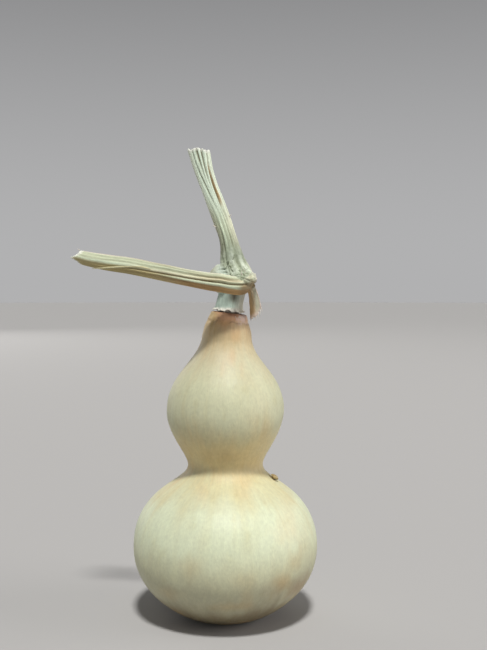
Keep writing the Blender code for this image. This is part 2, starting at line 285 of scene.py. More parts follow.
def make_fruit():
    outline = np.array([*BLOSSOM_SCAR, *fruit_outline(), *SOCKET])
    radius, height = outline[:, :1], outline[:, 1:]
    angle = circle(FRUIT_AROUND)[None, :]
    lumps = sum(size * np.cos(n * angle + phase + turn * height) for n, size, phase, turn in LUMPS)
    reach = radius * (1 + lumps * ramp(height, 0, 12))
    lean = LEAN * ramp(height, LEAN_FROM, TOP[1]) + RIM_LEAN * ramp(height, RIM_LEAN_FROM, RIM_LEAN_TO)
    slope = TOP_SLOPE * ramp(height, TOP_SLOPE_FROM, TOP[1] - 1)
    bare = stacked(reach * np.cos(angle), reach * np.sin(angle), height)
    # Low relief: broad dents, faint ribs along the fruit, and a wrinkled collar under the top
    ribs = round_axis(angle, 0.1 * height)
    shown = ramp(height, 0.5, 6) * ramp(height, 99.9, 98.5)
    relief = 0.14 * noise(bare, 9, 3) + 0.04 * noise(bare, 3.2, 4) + 0.025 * noise(ribs, 1.6, 5) - 0.16
    wrinkles = ramp(height, 92, 97) * (0.14 * noise(ribs, 5, 6) + 0.08 * noise(bare, 1.4, 8))
    collar = COLLAR + 0.6 * noise(ribs, 7, 9)
    crease = 0.14 * bell(height - collar, 0.35) * ramp(noise(ribs, 12, 10), -0.7, 0.1)
    reach = reach + shown * (relief + wrinkles - crease)
    x, y = reach * np.cos(angle), reach * np.sin(angle)
    rings = stacked(lean + x, y, height - slope * x)
    points, faces = joined([wrapped(list(rings)), make_scab()])
    colours = skin_colours(points)
    points, faces = joined([(points, faces), *(hair(rows) for rows in RIM_FIBRES)])
    colours = np.vstack([colours, linear(RIM_HAIR) + np.zeros((len(points) - len(colours), 3))])
    grain = (ribs * (1, 1, 4)).reshape(-1, 3)
    grain = np.vstack([grain, points[len(grain) :]])
    return made("gourd_fine", points, faces, colours, grain)


def make_scab():
    """The small crust on the right shoulder of the lower lobe."""
    tilt = math.radians(SCAB_TILT)
    rings = []
    for way in ball(18, 12, 0.04):
        local = way * (1 + 0.35 * noise(way * 2 + 5, 0.7, 31)[:, None]) * SCAB_SIZE
        x = local[:, :1] * math.cos(tilt) + local[:, 2:] * math.sin(tilt)
        z = local[:, 2:] * math.cos(tilt) - local[:, :1] * math.sin(tilt)
        rings.append(SCAB + np.hstack([x, local[:, 1:2], z]))
    return wrapped(rings)


# Tones of the skin, and the heights between which each one starts, is full, is full to and ends. The last two
# darken the lower lobe below the belly, most of all near the foot, as painted shade
SKIN, OCHRE, ORANGE, BROWN = (206, 207, 174), (190, 158, 104), (218, 166, 110), (150, 112, 76)
NECK_OLIVE, RIM_RUST_AND_PAINTED_LIGHT, RIM_RED, RIM_LINE = (186, 172, 120), (220, 170, 136), (112, 66, 46), (120, 84, 60)
SCRAPED, RIM_HAIR, WAXY, SCAR = (222, 198, 186), (228, 214, 200), (210, 214, 186), (96, 74, 52)
CRUMB, DARK_CRUMB = (184, 162, 112), (122, 92, 60)
DARKEST, PALEST = 0.004, 0.96
BANDS = (
    ((218, 225, 194), 20, 30, 35, 46), ((212, 207, 166), 38, 46, 48, 55), ((212, 194, 146), 45, 52, 56, 68),
    ((203, 195, 162), 75, 86, 200, 201), ((207, 186, 144), 83, 92, 200, 201),
    ((198, 164, 124), 91, 98, 200, 201), ((190, 188, 158), -2, -1, 13, 23), ((136, 124, 98), -2, -1, 4, 14),
)
# Marks on the skin: x, z of the middle as seen by the viewer, half-width, half-height, strength, colour. The
# last one is painted light: a lighter orange patch on the neck's top where the level arm's shadow falls
MARKS = (
    (18, 17.5, 4.2, 4.4, 0.5, OCHRE), (21.5, 23.5, 3.6, 4.4, 0.3, OCHRE),
    (-10.2, 23.5, 4.6, 5, 0.22, OCHRE), (-17, 14, 4.5, 3.4, 0.26, OCHRE), (4.9, 20.5, 5, 3, 0.13, OCHRE),
    (2, 11, 8, 2.6, 0.32, OCHRE), (20, 35, 5, 9, 0.16, ORANGE), (-7.2, 45, 3.6, 4, 0.15, ORANGE),
    (6.4, 46, 4, 4.4, 0.14, ORANGE), (2.3, 86.2, 1.7, 3.6, 0.22, ORANGE), (-0.8, 82, 1.2, 3.2, 0.1, ORANGE),
    (5.4, 82.5, 1.4, 3.2, 0.1, ORANGE), (3.2, 92.6, 2.4, 3, 0.26, ORANGE), (7.9, 67.9, 4, 3, 0.11, OCHRE),
    (0.8, 54.7, 4.5, 3, 0.18, BROWN), (-5.6, 54.8, 3.6, 3, 0.14, BROWN), (23, 14, 5.5, 6, 0.5, BROWN),
    (25.5, 31, 4.5, 8, 0.16, OCHRE), (15.5, 15, 5, 5, 0.18, BROWN), (-0.4, 97, 3.2, 1.6, 0.35, ORANGE),
)


def skin_colours(points):
    x, y, z = points.T
    turn = np.arctan2(y, x - LEAN)
    drips = round_axis(turn, 0.12 * z)
    drips = noise(drips, 3.6, 33) + 0.7 * noise(drips, 1.4, 34)
    height = z + (2.2 * noise(points, 11, 21) + noise(points, 4, 22) + 1.7 * drips) * ramp(z, 1, 8)
    colours = linear(SKIN) + 0 * points
    for tone, start, full, full_to, end in BANDS:
        colours = coated(colours, (tone, ramp(height, start, full) * ramp(height, end, full_to)))
    # Ochre clouds, stronger low down and round the waist, drawn out along the fruit
    drawn = points * (1, 1, 0.55)
    clouds = 0.12 + 0.26 * ramp(z, 24, 8) + 0.16 * ramp(np.abs(z - 50), 14, 3)
    colours = coated(colours, (OCHRE, ramp(cloudy(drawn, 7, 23), 0, 0.8) * clouds))
    flecks = ramp(cloudy(points * (1, 1, 0.4), 1.8, 28), 0.1, 0.7)
    colours = shaded(colours, (0.93, 0.89, 0.8), 0.5 * flecks)
    colours = shaded(colours, (0.96, 0.91, 0.82), 0.38 * ramp(drips, 0.1, 1.1) * ramp(z, 6, 16))
    colours = coated(colours, (WAXY, 0.25 * ramp(cloudy(drawn, 9, 29), 0.1, 0.7) * ramp(z, 95, 85)))
    for mark_x, mark_z, wide, high, strength, tone in MARKS:
        away = np.hypot((x - mark_x) / wide, (z - mark_z) / high) + 0.4 * cloudy(drawn, 3, 24)
        colours = coated(colours, (tone, strength * ramp(away, 1.2, 0.1) * (y < 0)))
    # The neck's top: olive on its left, a light orange right of the middle that is partly its own tone and
    # partly painted light where the level arm and the frill shade it, red-brown at the rim, a thin line round
    # it and a scraped pale patch
    left = ramp(x + 0.8 * noise(points, 2.5, 35), -1.5, -5)
    rim = z + TOP_SLOPE * x + 0.6 * noise(points, 2, 30)
    ring = COLLAR + 0.6 * noise(round_axis(turn, 0), 7, 9) - TOP_SLOPE * x
    scrape = np.hypot((x - 5.6) / 2.4, (z - 98.2) / 1.6) + 1.1 * cloudy(points, 1.3, 25)
    scar = np.hypot(x, y) + 0.5 * cloudy(points, 1.5, 26)
    colours = coated(
        colours,
        (NECK_OLIVE, 0.55 * ramp(height, 92, 98) * left),
        (RIM_RUST_AND_PAINTED_LIGHT, 0.6 * ramp(rim, 96.8, 99) * ramp(x, -3.5, -1)),
        (RIM_RED, 0.75 * ramp(rim, 99, 99.9)),
        (RIM_LINE, 0.45 * bell(z - ring, 0.25) * ramp(noise(points, 3, 32), -0.5, 0.3)),
        (SCRAPED, 0.75 * ramp(scrape, 1.2, 0.3) * (y < 0)),
        (SCAR, 0.8 * ramp(scar, 4, 2) * (z < 3)))
    crust = reach_from(points, SCAB, (1.9, 1.9, 1.3)) + 0.25 * noise(points, 0.6, 27)
    crumbs = coated(linear(CRUMB) + 0 * points, (DARK_CRUMB, ramp(noise(points, 0.5, 36), 0, 0.6)))
    return tinted(colours, crumbs, 0.85 * ramp(crust, 1.1, 0.8))


# The stalk between fruit and vine: the middles of its foot and head, and how far it bows to the left
STALK_FOOT, STALK_HEAD, STALK_BOW = np.array((0.75, 0, 98.6)), np.array((2.4, -0.6, 107.4)), 0.3
STALK_AROUND, STALK_RADIUS = 180, 4.3
SKIRT_SLOPE = 0.15
# Angles of the dent down its front and of the frill's longer tips, with how far these reach
STALK_DENT = math.radians(284)
FRILL_TIPS = ((196, 0.3), (332, 0.55))
# Height above its foot, radius, how ragged: up inside the skirt, round its edge and up the shank
STALK_ROWS = (
    (0.2, 3.2, 0), (1.6, 3.5, 0), (1.95, 4, 0.1), (1.95, 4.5, 0.5), (1.72, 4.9, 1), (1.78, 5.02, 1),
    (1.95, 4.98, 1), (2.3, 4.72, 0.6), (2.8, 4.52, 0.3), (3.4, 4.42, 0.1), (4.2, 4.36, 0), (5.2, 4.33, 0),
    (6.4, 4.33, 0), (7.6, 4.36, 0), (9, 4.42, 0), (10.4, 4.3, 0),
)
FRILL, SHANK, SHANK_RIGHT, SHANK_GREEN = (232, 230, 218), (180, 198, 186), (196, 188, 170), (160, 178, 160)
DENT_SHADE, FRILL_UNDER_SHADE = (108, 102, 86), (120, 104, 82)


def make_stalk():
    rows = smoothed(STALK_ROWS, 90, 10)[0]
    angle = circle(STALK_AROUND)
    on_edge = stacked(8 * np.cos(angle), 8 * np.sin(angle), 0)
    frill = 0.34 * noise(on_edge, 2.6, 41) + 0.3 * noise(on_edge, 1.1, 42)
    frill = frill + sum(far * bell(np.degrees(angle) - tip, 12) for tip, far in FRILL_TIPS)
    lift = 0.5 * np.abs(noise(on_edge, 2.6, 45)) + 0.25 * noise(on_edge, 1, 46)
    rings = []
    for height, radius, ragged in rows:
        share = height / (STALK_HEAD[2] - STALK_FOOT[2])
        centre = STALK_FOOT + (STALK_HEAD - STALK_FOOT) * share
        centre[0] -= STALK_BOW * math.sin(math.pi * min(share, 1))
        rib = 0.14 * np.cos(5 * angle + 0.4) + 0.1 * noise(on_edge + [0, 0, 0.25 * height], 2.2, 43)
        fibre = 0.05 * noise(on_edge + [0, 0, 0.3 * height], 0.7, 44)
        dent = 0.22 * bell((angle - STALK_DENT) * STALK_RADIUS, 0.9)
        reach = radius + ragged * frill + ramp(height, 2, 4) * (rib + fibre - dent)
        x, y = reach * np.cos(angle), reach * np.sin(angle)
        z = centre[2] - SKIRT_SLOPE * (1 - min(share, 1)) * x + ragged * lift
        rings.append(stacked(centre[0] + x, centre[1] + y, z))
    points, faces = wrapped(rings)
    heights = np.repeat(rows[:, 0], STALK_AROUND)
    turn = np.tile(angle, len(rows))
    to_right = np.cos(turn)
    grain = stacked(STALK_RADIUS * to_right, STALK_RADIUS * np.sin(turn), 0.12 * heights)
    dent = bell((turn - STALK_DENT) * STALK_RADIUS, 1.8)
    dent *= ramp(heights + 1.2 * cloudy(grain, 1.2, 48), 3, 6.4)
    colours = coated(
        linear(FRILL) + 0 * points,
        (SHANK, ramp(heights + 0.5 * noise(grain, 1.4, 49), 2, 3.6)),
        (SHANK_RIGHT, 0.75 * ramp(to_right + 0.2 * noise(grain, 1.6, 38), 0.25, 1)),
        (SHANK_GREEN, 0.5 * ramp(cloudy(grain, 1.2, 47), 0, 0.7) * ramp(heights, 2.6, 4)),
        (DENT_SHADE, 0.9 * dent))
    # Painted shade: the upper front of the shank is darker, most of all on its right, where the elbow shades
    # it
    colours = shaded(colours, 0.8, ramp(to_right, -0.6, 0) * ramp(heights, 3.5, 6) * (np.sin(turn) < 0))
    # Painted shade under the frill and down into the socket
    colours = coated(colours, (FRILL_UNDER_SHADE, 0.7 * ramp(heights, 1.75, 1.5)))
    return made("stalk_fine", points, faces, colours, grain)


# The vine's arms from the elbow out to the torn end: x, y, z, half-width, half-depth
RISING_ARM = (
    (6.2, -4.6, 108.6, 3, 3), (4.5, -4.2, 111.9, 4.3, 3.3), (2.65, -3.2, 115.9, 4.05, 3),
    (2, -2.5, 119.2, 3.5, 2.6), (1.3, -2, 122.4, 2.9, 2.3), (0.4, -1.6, 125.7, 2.7, 2.1),
    (-1.3, -1.1, 130.7, 2.85, 2.1), (-3.4, -0.6, 136.3, 2.85, 2), (-5, -0.2, 140.4, 2.75, 1.9),
    (-6.7, 0.2, 145.3, 2.95, 1.8), (-7.8, 0.5, 149.4, 3.25, 1.7), (-8.8, 0.7, 154.3, 3.65, 1.6),
)
LEVEL_ARM = (
    (7.6, -6, 108.8, 1.2, 1.4), (6.4, -7.9, 108.6, 2.2, 2.2), (4.6, -9.9, 108.6, 2.85, 2.6),
    (1.6, -12, 109, 2.9, 2.6), (-1.4, -13.1, 109.6, 2.9, 2.55), (-4.6, -13.2, 110, 2.8, 2.5),
    (-10.9, -13, 111.1, 2.65, 2.45), (-17.2, -12.6, 112.4, 2.65, 2.45), (-23.5, -12, 113.7, 2.6, 2.45),
    (-29.9, -11.3, 115, 2.65, 2.5), (-36.3, -10.5, 115.9, 2.55, 2.45), (-42.6, -9.9, 117, 2.35, 2.35),
    (-46.1, -9.6, 117.8, 2.2, 2.2), (-48.8, -9.3, 117.95, 1.9, 2),
)

# Grooves between the strands: height on the rising arm or x on the level one, angle round the arm (0 is its
# upper or right-hand side, 270 faces the viewer), depth and, where the strands stand apart, how wide
RISING_GROOVES = (
    ((110, 35, 0.2), (140, 35, 0.3), (148, 35, 0.5, 0.2), (154, 35, 0.6, 0.5)),
    ((110, 85, 0.3), (138, 85, 0.5), (146, 85, 0.6, 0.2), (154, 85, 0.6, 0.5)),
    ((110, 140, 0.2), (141, 140, 0.3), (149, 140, 0.5, 0.2), (154, 140, 0.5, 0.4)),
    ((110, 192, 0.1), (154, 192, 0.2)),
    ((110, 238, 0.3), (115, 236, 0.7, 0.1), (119, 234, 0.75, 0.1), (123, 234, 0.45), (127, 236, 0.25),
     (131, 238, 0.1), (154, 210, 0.1)),
    ((110, 262, 0.1), (133, 264, 0.2), (136.5, 258, 0.35), (139.8, 249, 0.45), (143.1, 242, 0.5),
     (146.4, 235, 0.5), (149.6, 230, 0.45), (153, 228, 0.4, 0.1)),
    ((110, 276, 0), (136.5, 272, 0.1), (143, 264, 0.2), (147, 262, 0.4, 0.05), (149.6, 259, 0.6, 0.15),
     (153, 255, 0.6, 0.25)),
    ((110, 292, 0.2), (130, 288, 0.25), (139, 281, 0.15), (143.1, 280, 0.4), (146.4, 283, 0.6, 0.1),
     (149.6, 283, 0.6, 0.15), (153, 281, 0.6, 0.25)),
    ((110, 314, 0.2), (128, 308, 0.2), (133.5, 298, 0.4), (136.5, 300, 0.8, 0.25), (139.8, 303, 0.9, 0.45),
     (143.1, 306, 0.9, 0.4), (145, 308, 0.8, 0.25), (147, 310, 0.6, 0.1), (149.6, 314, 0.5, 0.1),
     (153, 314, 0.5, 0.25)),
    ((110, 335, 0.15), (154, 336, 0.2)),
)
LEVEL_GROOVES = (
    ((8, 40, 0.25), (-49, 40, 0.2)),
    ((8, 90, 0.3), (-49, 90, 0.2)),
    ((8, 138, 0.25), (-49, 138, 0.2)),
    ((8, 182, 0.3), (-49, 182, 0.2)),
    ((8, 214, 0.15), (-10, 212, 0.2), (-25, 206, 0.2), (-49, 204, 0.1)),
    ((8, 252, 0.1), (-9, 243, 0.2), (-20, 237, 0.2), (-30, 228, 0.25), (-49, 222, 0.15)),
    ((7, 289, 0), (5.8, 286, 0.5, 0.05), (4.4, 282, 0.75, 0.12), (0, 272, 0.85, 0.15),
     (-4.7, 270, 0.8, 0.1), (-9.3, 268, 0.6), (-15.4, 265, 0.5), (-20, 261, 0.45), (-27, 256, 0.4),
     (-31.5, 252, 0.35), (-39, 248, 0.2), (-49, 244, 0.05)),
    ((4, 301, 0.1), (0, 300, 0.5), (-5, 299, 0.5), (-15, 297, 0.35), (-25, 292, 0.2), (-49, 286, 0.1)),
    ((5, 334, 0), (-2, 332, 0.05), (-8, 328, 0.3), (-18, 324, 0.35), (-27, 316, 0.2), (-49, 310, 0.1)),
    ((8, 356, 0.2), (-20, 352, 0.2), (-49, 350, 0.15)),
)
MAIN_GROOVE = 6
GROOVE_WIDTH, OVERLAP = 0.3, 0.03

# Where each arm is torn off, by the angle round it: heights of the rising arm's end, x of the level arm's
RISING_END = (
    (0, 153), (35, 151.6), (85, 151.4), (140, 152.6), (180, 153.2), (200, 153.4), (213, 152.8),
    (226, 153.2), (250, 153.4), (254, 153.6), (278, 153.6), (281, 153.2), (290, 153.4), (300, 152.8),
    (304, 153.2), (317, 153), (319, 152.6), (335, 153.2), (350, 153.2), (360, 153),
)
LEVEL_END = (
    (0, -46.3), (45, -45.3), (90, -44.4), (140, -43.8), (180, -44.6), (200, -45.6), (220, -46.6),
    (235, -47.6), (250, -48.3), (262, -48.75), (268, -47.9), (280, -47.1), (300, -46.4), (330, -46),
    (348, -46.5), (360, -46.3),
)
TORN_DEPTH, TORN_SIZE = 0.38, 0.3
# How far the cores stop short of those ends, and how thick the rind is along the arms and at their tips
RISING_CORE_ENDS, LEVEL_CORE_ENDS = 7, 8.5
WALL, TIP_WALL, CORE_INSET = 1.35, 0.5, 1.05
ROUTE_STEPS, STRAND_ROWS, STRAND_ACROSS = 300, 220, 16
BATCH = 4000
VOXEL = 0.16
KEPT_SHARE = 0.7

ELBOW, ELBOW_RADII = np.array((6.6, -5, 110.9)), (3.5, 3.8, 2.7)
FOLD, FOLD_RADII = np.array((7, -8.9, 111)), (2.6, 3.1, 2.1)
SWELLING, SWELLING_RADII = np.array((0.8, -1.2, 111)), (6.3, 4.9, 5.3)
# Webs that fill the corners between the rising arm and the elbow: x, y, z, half-width, half-depth
BACK_WEB = (
    (0.6, 1.2, 109.6, 3.4, 2.6), (1.2, 0.4, 113, 3.4, 2.7), (1.7, -0.6, 116.6, 2.9, 2.4),
    (1.3, -1.1, 120.6, 2, 1.6), (0.2, -1.2, 126, 1.2, 1),
)
SIDE_WEB = (
    (3, -0.6, 109.6, 3, 3), (5.1, -2, 111.6, 3, 3), (4.8, -2.8, 115, 2.2, 2.4),
    (3.6, -2.4, 119.6, 1.5, 1.6),
)
# The torn scrap: height, x of its left and right edge, y
FLAP = (
    (110.4, 6.4, 9.4, -4.6), (107, 7.2, 10.35, -4.1), (104.6, 7.7, 11.2, -3.8), (101.8, 7.95, 11.75, -3.5),
    (97.4, 8.1, 11.95, -3.5),
)
# Height of its torn lower edge, from its left edge to its right one
FLAP_END = ((0, 97.6), (0.3, 98.3), (0.65, 99.3), (0.92, 100.9), (1, 101.7))
FLAP_THICK = 0.42
# The shred that peels from the level arm: x, y, z, radius
SHRED = (
    (-20.7, -14, 113.1, 0.29), (-23.6, -14.2, 114, 0.37), (-27, -13.9, 114.7, 0.39),
    (-31.3, -13.4, 114.7, 0.35), (-36, -12.9, 114.4, 0.26), (-39.3, -12.5, 114.2, 0.18),
    (-41.7, -12.2, 114.1, 0.07),
)
# Where in an arm's table its half-width, half-depth and the unit vectors of its route are
WIDE, DEEP, ALONG, ACROSS, AWAY = 3, 4, slice(5, 8), slice(8, 11), slice(11, 14)


class Arm:
    """An arm's route, and where its strands part and end."""

    def __init__(self, rows, grooves, end, key):
        self.rows, self.lengths = smoothed(rows, ROUTE_STEPS)
        self.table = np.hstack([self.rows, *frames(self.rows[:, :3])])
        self.key, self.grooves, self.end = key, grooves, end
        self.rises = self.rows[-1, key] > self.rows[0, key]

    def length_at(self, place):
        """How far along the arm its route has this height, or this x."""
        keys = self.rows[:, self.key]
        return np.interp(place, keys, self.lengths) if self.rises else np.interp(-place, -keys, self.lengths)

    def ramp(self, length, start, end):
        """0 up to one place on the arm and 1 from another on."""
        return ramp(length, self.length_at(start), self.length_at(end))

    def groove(self, number, length):
        """Angle, depth and opening of a groove at these lengths. Numbers past the last go round again."""
        turns, number = divmod(number, len(self.grooves))
        rows = np.array([(*row, 0)[:4] for row in self.grooves[number]], float)
        angle, depth, gap = between(length, self.length_at(rows[:, 0]), rows[:, 1:]).T
        return angle.T + 360 * turns, depth.T, gap.T

    def end_length(self, angle):
        """Where the arm is torn off at these angles."""
        angle = np.asarray(angle, float) % 360
        turn = np.radians(angle)
        place = along(angle, self.end)
        if self.rises:
            tilt = self.table[-1, ACROSS][2] / self.table[-1, ALONG][2]
            place = place - tilt * self.rows[-1, WIDE] * np.cos(turn)
        ragged = noise(stacked(np.cos(turn), np.sin(turn), 0) * 3, TORN_SIZE, 51 + self.key)
        return self.length_at(place) - TORN_DEPTH * np.abs(ragged)

    def at(self, length, angle, inset):
        """Points at lengths and angles, inset below the arm's surface."""
        here = between(length, self.lengths, self.table)
        turn = np.radians(angle)
        side, back = (here[..., WIDE] - inset) * np.cos(turn), (here[..., DEEP] - inset) * np.sin(turn)
        return here[..., :3] + here[..., ACROSS] * side[..., None] + here[..., AWAY] * back[..., None]

    def local(self, points):
        """Each point's length along the arm, offsets across and away, angle and share of the radius."""
        nearest = np.empty(len(points), int)
        middle = self.rows[:, :3]
        for start in range(0, len(points), BATCH):
            some = points[start : start + BATCH]
            apart = (some**2).sum(1)[:, None] - 2 * some @ middle.T + (middle**2).sum(1)[None, :]
            nearest[start : start + BATCH] = apart.argmin(1)
        here = self.table[nearest]
        off = points - here[:, :3]
        length = self.lengths[nearest] + (off * here[:, ALONG]).sum(1)
        side, back = (off * here[:, ACROSS]).sum(1), (off * here[:, AWAY]).sum(1)
        right, away = side / here[:, WIDE], back / here[:, DEEP]
        return length, side, back, np.degrees(np.arctan2(away, right)) % 360, np.hypot(right, away)


def make_strand(arm, number):
    """(points, faces) of the strand after a groove, as a curved slab with its own torn end."""
    share = np.linspace(0, 1, STRAND_ROWS)[:, None]
    u = np.linspace(0, 1, STRAND_ACROSS)[None, :]
    full = arm.lengths[-1]
    end = arm.end_length(arm.groove(number, full)[0] * (1 - u) + arm.groove(number + 1, full)[0] * u)
    length = share * end
    first, first_depth, first_gap = arm.groove(number, length)
    last, last_depth, last_gap = arm.groove(number + 1, length)
    degree = np.interp(length, arm.lengths, arm.rows[:, WIDE]) * math.pi / 180
    left = first + (0.5 * first_gap - OVERLAP) / degree
    right = last - (0.5 * last_gap - OVERLAP) / degree
    angle = left * (1 - u) + right * u
    inset = first_depth * bell((angle - first) * degree, GROOVE_WIDTH)
    inset += last_depth * bell((last - angle) * degree, GROOVE_WIDTH)
    inset -= 0.07 * np.sin(np.pi * u) * ramp(first_depth + last_depth, 0, 0.5)
    to_end = end - length
    wall = TIP_WALL + (WALL - TIP_WALL) * ramp(to_end, 5, 11)
    curl = 0.25 * ramp(to_end, 3, 0) * noise(stacked(angle / 25, 0, 0), 1, 60 + arm.key)
    outer = arm.at(length, angle, inset + curl)
    inner = arm.at(length, angle, np.maximum(wall, inset + 0.35) + curl)
    rings = np.concatenate([outer, inner[:, ::-1]], axis=1)
    points, faces = wrapped(list(rings), caps=False)
    count = 2 * STRAND_ACROSS
    last_row = (STRAND_ROWS - 1) * count
    for k in range(STRAND_ACROSS - 1):
        other = count - 1 - k
        faces.append((k, k + 1, other - 1, other)[::-1])
        faces.append((last_row + k, last_row + k + 1, last_row + other - 1, last_row + other))
    return points, faces


def make_core(arm, stops):
    lengths = np.linspace(0, arm.lengths[-1] - stops, 80)
    rows = between(lengths, arm.lengths, arm.rows)
    rows[:, 3:] -= CORE_INSET
    return oval(rows, 32)


def lump(centre, radii):
    return wrapped([centre + way * radii for way in ball(48, 28, 0.02)])


def make_flap():
    """A thin scrap of rind with a fold down it and a slanted, ragged lower edge."""
    heights, *edges = np.array(FLAP)[::-1].T
    top = FLAP[0][0]
    u = np.linspace(0, 1, 33)
    ragged = 0.3 * noise(stacked(9 * u, 0, 0), 0.8, 71) + 0.18 * noise(stacked(30 * u, 0, 0), 0.9, 72)
    end = along(u, FLAP_END) + ragged
    rings = []
    for share in np.linspace(0, 1, 70):
        z = top + (end - top) * share
        left, right, y = (np.interp(z, heights, edge) for edge in edges)
        fold = 0.9 * np.abs(u - 0.42) + 0.12 * noise(stacked(6 * u, 0, 0.15 * z), 1, 73)
        thick = FLAP_THICK * (1.8 - 0.8 * min(1, 3 * share))
        front = stacked(left + (right - left) * u, y + fold * ramp(share, 0, 0.4) - thick / 2, z)
        rings.append(np.vstack([front, front[::-1] + (0, thick, 0)]))
    return wrapped(rings)


def remeshed(points, faces):
    """One closed skin round all the pieces, as points and faces."""
    obj = linked("rough", mesh_of("rough", points, faces))
    remesh = obj.modifiers.new("remesh", "REMESH")
    remesh.mode = "VOXEL"
    remesh.voxel_size = VOXEL
    remesh.adaptivity = 0
    whole = obj.evaluated_get(bpy.context.evaluated_depsgraph_get())
    skin = whole.to_mesh()
    co = np.empty(len(skin.vertices) * 3, np.float32)
    skin.vertices.foreach_get("co", co)
    quads = [tuple(face.vertices) for face in skin.polygons]
    whole.to_mesh_clear()
    bpy.data.objects.remove(obj)
    return co.reshape(-1, 3).astype(float), quads


def thinned(obj):
    """The object with fewer triangles where its surface is even."""
    fewer = obj.modifiers.new("fewer", "DECIMATE")
    fewer.ratio = KEPT_SHARE
    mesh = bpy.data.meshes.new_from_object(obj.evaluated_get(bpy.context.evaluated_depsgraph_get()))
    obj.modifiers.clear()
    obj.data = mesh
    mesh.shade_smooth()
    return obj


def edge_pairs(faces):
    pairs = {(min(a, b), max(a, b)) for face in faces for a, b in zip(face, face[1:] + face[:1])}
    return np.array(sorted(pairs))


def relaxed(values, pairs, weight, times):
    """Draws each point's values towards its neighbours' by its weight."""
    first, second = pairs.T
    size = len(values)
    count = np.bincount(pairs.ravel(), minlength=size)[:, None]
    weight = np.broadcast_to(weight, size)[:, None]
    for _ in range(times):
        total = np.stack([
            np.bincount(first, column[second], size) + np.bincount(second, column[first], size)
            for column in values.T], -1)
        values = values + weight * (total / count - values)
    return values


def normals_of(points, faces):
    quads = np.array([face if len(face) == 4 else (*face, face[-1]) for face in faces])
    a, b, c, d = (points[quads[:, k]] for k in range(4))
    way = np.cross(c - a, d - b)
    total = np.zeros_like(points)
    for k in range(4):
        for axis in range(3):
            total[:, axis] += np.bincount(quads[:, k], way[:, axis], len(points))
    return total / np.maximum(np.linalg.norm(total, axis=1), 1e-9)[:, None]


# Cracks in the crumpled elbow as the viewer sees them: x, z of their corners, then depth and half-width
CRACKS = (
    (((1.1, 116.3), (0.7, 115), (0, 114.1), (-1.1, 113.9)), 0.34, 0.2),
    (((1.5, 114.9), (1.8, 114.1), (2.4, 113.2)), 0.34, 0.18),
    (((2.9, 118.6), (2.8, 117.8), (2.4, 117)), 0.34, 0.18),
    (((-0.9, 122), (-1.1, 119), (-0.5, 116.2)), 0.25, 0.35),
    (((4.9, 112.9), (6, 112.1), (7.2, 111.9)), 0.2, 0.2),
    (((4.6, 113.6), (5, 113.2)), 0.3, 0.25), (((6.6, 113.1), (7.3, 112.8)), 0.3, 0.3),
    (((5.2, 110.6), (6.4, 110.9), (7.8, 110.2)), 0.25, 0.2),
)


def crack_depth(points, normals):
    """How far each point lies below the surface in the cracks, and how much painted shade it gets there."""
    depth, dark = np.zeros(len(points)), np.zeros(len(points))
    seen = ramp(-normals[:, 1], 0, 0.4) * (points[:, 1] < -1)
    flat = points[:, [0, 2]] + 0.16 * stacked(noise(points, 0.9, 81), noise(points, 0.9, 82))
    broken = ramp(noise(points, 0.8, 83), -0.9, 0.1)
    for corners, deep, wide in CRACKS:
        nearest = np.full(len(points), np.inf)
        for start, end in zip(corners, corners[1:]):
            start, run = np.array(start), np.array(end) - np.array(start)
            share = np.clip((flat - start) @ run / (run @ run), 0, 1)
            nearest = np.minimum(nearest, np.linalg.norm(flat - start - share[:, None] * run, axis=1))
        mask = bell(nearest, wide) * seen
        depth = np.maximum(depth, deep * mask)
        dark = np.maximum(dark, mask * min(1, deep / 0.4) * broken)
    return depth, dark


# Tones of the arms. The valley and slit tones are painted shade in the rib valleys and the grooves between
# the strands
MID, PALE_GREEN, CREAM, BRIGHT_GREEN = (196, 202, 172), (220, 234, 206), (230, 224, 198), (228, 244, 224)
LEFT_EDGE_SHADE, ORANGE_TAN, VALLEY, SLIT = (190, 178, 166), (210, 172, 118), (142, 140, 104), (96, 84, 54)
UPPER_GREEN, TOP_EDGE_HIGHLIGHT, OLIVE_TAN = (192, 198, 168), (238, 228, 214), (172, 158, 112)
OCHRE_UNDER = (166, 126, 76)
RIDGE_GREY, RIDGE_CREAM, RIDGE_OCHRE = (150, 158, 130), (244, 238, 204), (166, 142, 94)
LEVEL_VALLEY, LEVEL_SLIT, TORN_WHITE = (160, 138, 92), (110, 86, 48), (236, 238, 226)
RISING_INSIDE, LEVEL_INSIDE = (142, 112, 70), (70, 60, 40)


def groove_mask(arm, length, angle):
    """How near each point is to a groove of the arm, 0 to 1, weighted by the groove's depth."""
    mask = np.zeros(len(length))
    wide = np.interp(length, arm.lengths, arm.rows[:, WIDE])
    for number in range(len(arm.grooves)):
        middle, depth, gap = arm.groove(number, length)
        apart = np.abs((angle - middle + 180) % 360 - 180) * wide * math.pi / 180
        mask = np.maximum(mask, bell((apart - 0.5 * gap).clip(0), 0.25) * np.clip(depth / 0.6, 0, 1))
    return mask


def strand_number(arm, length, angle):
    """Which strand of the arm each point is on."""
    middles = [arm.groove(number, length)[0] for number in range(len(arm.grooves))]
    return sum((angle > middle).astype(int) for middle in middles)


